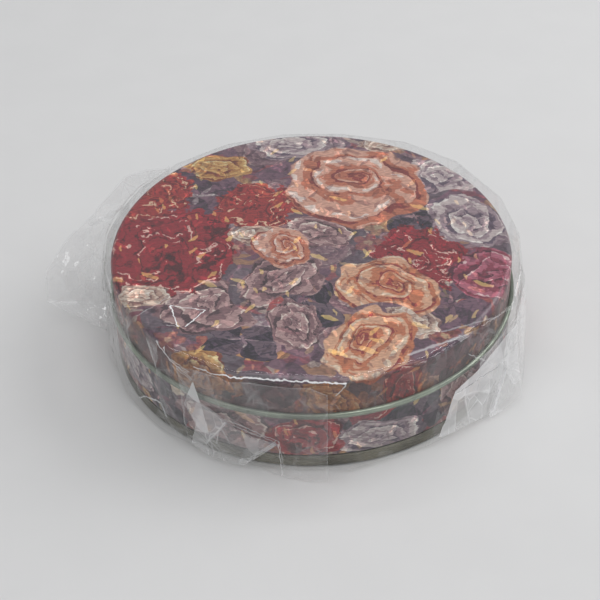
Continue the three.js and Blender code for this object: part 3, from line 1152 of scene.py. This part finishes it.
class CADDY_OT_stage(bpy.types.Operator):
    """Lay a pale floor, hang soft lights and set up the camera"""

    bl_idname = "caddy.stage"
    bl_label = "Stage"

    def execute(self, context):
        settings = context.scene.caddy_studio
        lay_floor(settings.floor_colour)
        hang_lights(context.scene, settings.light_colour)
        stand_camera(context.scene, settings)
        return {"FINISHED"}


def lay_floor(colour):
    bm = bmesh.new()
    bmesh.ops.create_grid(bm, x_segments=1, y_segments=1, size=2.5)
    mesh = bpy.data.meshes.new("floor")
    bm.to_mesh(mesh)
    bm.free()
    material, t, surface = new_material("pale_paper")
    place = t.add("ShaderNodeTexCoord").outputs["Object"]
    grain = t.between(t.noise(place, 40.0, 3.0), 0.3, 0.7, 0.0, 1.0)
    t.feed(surface["Base Color"], t.mix(grain, [c * 0.985 for c in colour], colour))
    surface["Roughness"].default_value = 0.85
    surface["Specular IOR Level"].default_value = 0.15
    mesh.materials.append(material)
    floor = bpy.data.objects.new("floor", mesh)
    bpy.context.collection.objects.link(floor)


# Each light's place and size in metres, and its power in watts.
LIGHTS = {
    "window": ((1.05, 0.35, 0.85), (0.9, 0.9), 7.9),
    "ceiling": ((0.0, -0.15, 1.35), (1.3, 1.3), 6.1),
    "front_fill": ((-0.2, -1.2, 0.8), (1.0, 1.0), 1.5),
    "back_tube": ((-0.1, 0.62, 1.15), (1.1, 0.05), 1.15),
    "side_tube": ((0.5, -0.55, 1.2), (0.05, 0.9), 0.8),
}


SKY = (0.95, 0.97, 1.0, 1)
SKY_STRENGTH = 0.41


def hang_lights(scene, colour):
    for name, (place, (width, depth), watts) in LIGHTS.items():
        light = bpy.data.lights.new(name, "AREA")
        light.shape = "RECTANGLE"
        light.size, light.size_y = width, depth
        light.energy = watts
        light.color = colour
        lamp = bpy.data.objects.new(name, light)
        lamp.location = place
        lamp.rotation_euler = Vector(place).to_track_quat("Z", "Y").to_euler()
        scene.collection.objects.link(lamp)
    world = bpy.data.worlds.new("studio")
    world.use_nodes = True
    background = world.node_tree.nodes["Background"]
    background.inputs["Color"].default_value = SKY
    background.inputs["Strength"].default_value = SKY_STRENGTH
    scene.world = world
    scene.view_settings.view_transform = "Standard"


def stand_camera(scene, settings):
    middle = Vector((0, 0, frame_top() / 2))
    raised, across = settings.elevation, Vector((1, 0, 0))
    back = Vector((0, -math.cos(raised), math.sin(raised)))
    looking = Matrix((across, back.cross(across), back)).transposed()
    aim = Matrix.Rotation(settings.roll, 3, "Z")
    for axis, turn in (("X", settings.tilt), ("Y", settings.pan)):
        aim = aim @ Matrix.Rotation(turn, 3, axis)
    lens = bpy.data.cameras.new("camera")
    lens.lens = settings.lens
    lens.sensor_width = 36
    lens.clip_start = 0.01
    camera = bpy.data.objects.new("camera", lens)
    stand = Matrix.Translation(middle + back * settings.distance)
    camera.matrix_world = stand @ (looking @ aim.transposed()).to_4x4()
    scene.collection.objects.link(camera)
    scene.camera = camera


class CADDY_OT_lid(bpy.types.Operator):
    """Draw the printed lid with its plain rolled bead"""

    bl_idname = "caddy.lid"
    bl_label = "Lid"

    def execute(self, context):
        s = context.scene.caddy_tin
        top = frame_top()
        bead_out = s.lid_radius - s.gauge + s.bead
        bead_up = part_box("lid")[0][2] + s.bead
        low = bead_up + s.bead
        corner_out, corner_up = s.lid_radius - s.lid_corner, top - s.lid_corner
        rings = [(corner_out * i / 6, top) for i in range(6)] + [(corner_out - s.lid_corner / 3, top)]
        path = [
            *rings,
            *arc(corner_out, corner_up, s.lid_corner, 90, 0, 10),
            *[(s.lid_radius, corner_up + (low - corner_up) * i / 4) for i in range(1, 4)],
            (s.lid_radius, bead_up + 0.75 * s.bead),
            *arc(bead_out, bead_up, s.bead - s.gauge, 180, 495, 20)[1:],
        ]
        lid = turned_sheet(
            "printed_lid", path, s.gauge, MATERIALS["lid"], MATERIALS["bead"], lambda at: at.z > low
        )
        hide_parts("lid")
        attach(lid, "lid")
        return {"FINISHED"}


class CADDY_OT_body(bpy.types.Operator):
    """Roll the printed wall with its shoulder, neck and curled edge"""

    bl_idname = "caddy.body"
    bl_label = "Body wall"

    def execute(self, context):
        s = context.scene.caddy_tin
        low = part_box("body_wall")[0][2]
        step = s.skirt + s.gauge
        neck = s.lid_radius - s.gauge - s.neck_gap
        foot = s.body_radius - 2 * s.gauge
        bend = 0.6 * MM
        path = [
            (foot, low),
            (foot, step - s.gauge / 2),
            (s.body_radius - s.gauge / 2, step + s.gauge / 4),
            (s.body_radius, step + s.gauge),
            *[(s.body_radius, step + (s.shoulder - step) * i / 6) for i in range(1, 6)],
            *arc(s.body_radius - bend, s.shoulder - bend, bend, 0, 90, 6),
            (neck + bend, s.shoulder),
            (neck + bend / 4, s.shoulder + bend / 4),
            (neck, s.shoulder + bend),
            (neck, (s.shoulder + s.neck_top) / 2),
            *arc(neck - s.neck_curl, s.neck_top - s.neck_curl, s.neck_curl, 0, 288, 16),
        ]
        wall = turned_sheet(
            "printed_wall",
            path,
            s.gauge,
            MATERIALS["wall"],
            MATERIALS["bead"],
            lambda at: step < at.z < s.shoulder - s.margin and at.xy.length > foot,
        )
        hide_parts("body_wall")
        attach(wall, "tin_body")
        return {"FINISHED"}


class CADDY_OT_base(bpy.types.Operator):
    """Press the plain base with its skirt and stiffening rib"""

    bl_idname = "caddy.base"
    bl_label = "Base"

    def execute(self, context):
        s = context.scene.caddy_tin
        rib, half, rise = s.rib_radius, 3 * MM, 1 * MM
        path = [
            *[(rib * i / 5, 0) for i in range(4)],
            (rib - half - rise, 0),
            *arc(rib - half, rise, rise, -90, -45, 3),
            *arc(rib, -rise, 2 * rise, 125, 55, 6),
            *arc(rib + half, rise, rise, -135, -90, 3),
            (rib + half + rise, 0),
            *arc(s.body_radius - s.heel, s.heel, s.heel, -90, 0, 8),
            (s.body_radius, s.skirt / 2),
            (s.body_radius, s.skirt),
        ]
        base = turned_sheet(
            "base_cup", path, s.gauge, MATERIALS["plain"], MATERIALS["plain"], lambda at: True
        )
        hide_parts("base")
        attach(base, "tin_body")
        return {"FINISHED"}


class CADDY_OT_wrap(bpy.types.Operator):
    """Drape the clear film over the tin"""

    bl_idname = "caddy.wrap"
    bl_label = "Film wrap"

    def execute(self, context):
        s = context.scene.caddy_film
        mesh = film_mesh(s)
        mesh.materials.append(MATERIALS["film"])
        film = bpy.data.objects.new("film_sheet", mesh)
        context.collection.objects.link(film)
        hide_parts("film_wrap")
        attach(film, "wrap")
        return {"FINISHED"}


class CADDY_PT_panel(bpy.types.Panel):
    """Lists the tin's pieces and their sizes"""

    bl_label = "Printed tea tin"
    bl_space_type = "VIEW_3D"
    bl_region_type = "UI"
    bl_category = "Tea Tin"

    def draw(self, context):
        scene, column = context.scene, self.layout.column()
        for settings in (scene.caddy_tin, scene.caddy_film, scene.caddy_studio):
            for name in settings.bl_rna.properties.keys():
                if name not in ("rna_type", "name"):
                    column.prop(settings, name)
        for operator in OPERATORS:
            column.operator(operator.bl_idname)


OPERATORS = (CADDY_OT_stage, CADDY_OT_lid, CADDY_OT_body, CADDY_OT_base, CADDY_OT_wrap)
SETTINGS = {"caddy_tin": TinSizes, "caddy_film": FilmSettings, "caddy_studio": StudioSettings}
MATERIALS = {}


def register():
    for made in (*SETTINGS.values(), *OPERATORS, CADDY_PT_panel):
        bpy.utils.register_class(made)
    for name, made in SETTINGS.items():
        setattr(bpy.types.Scene, name, PointerProperty(type=made))


def unregister():
    for name in SETTINGS:
        delattr(bpy.types.Scene, name)
    for made in (CADDY_PT_panel, *reversed(OPERATORS), *SETTINGS.values()):
        bpy.utils.unregister_class(made)


def main():
    register()
    groups = make_groups()
    radius = bpy.context.scene.caddy_tin.body_radius
    MATERIALS["lid"] = print_material("lid_print", groups, radius, True, 2.0)
    MATERIALS["wall"] = print_material("wall_print", groups, radius, False, 40.0)
    MATERIALS["film"] = film_material(bpy.context.scene.caddy_film, groups)
    MATERIALS["plain"] = plain_material("olive_tinplate", "7d7a6c", 0.85, 0.22, 0.4)
    # Partly painted highlight: the bead's tinplate is paler than the foot's, so that it reads as the light
    # line along the bead's top.
    MATERIALS["bead"] = plain_material("pale_tinplate_painted_highlight", "8e9888", 0.6, 0.1, 0.22)
    bpy.ops.caddy.stage()
    bpy.ops.caddy.lid()
    bpy.ops.caddy.body()
    bpy.ops.caddy.base()
    bpy.ops.caddy.wrap()


if __name__ == "__main__":
    main()
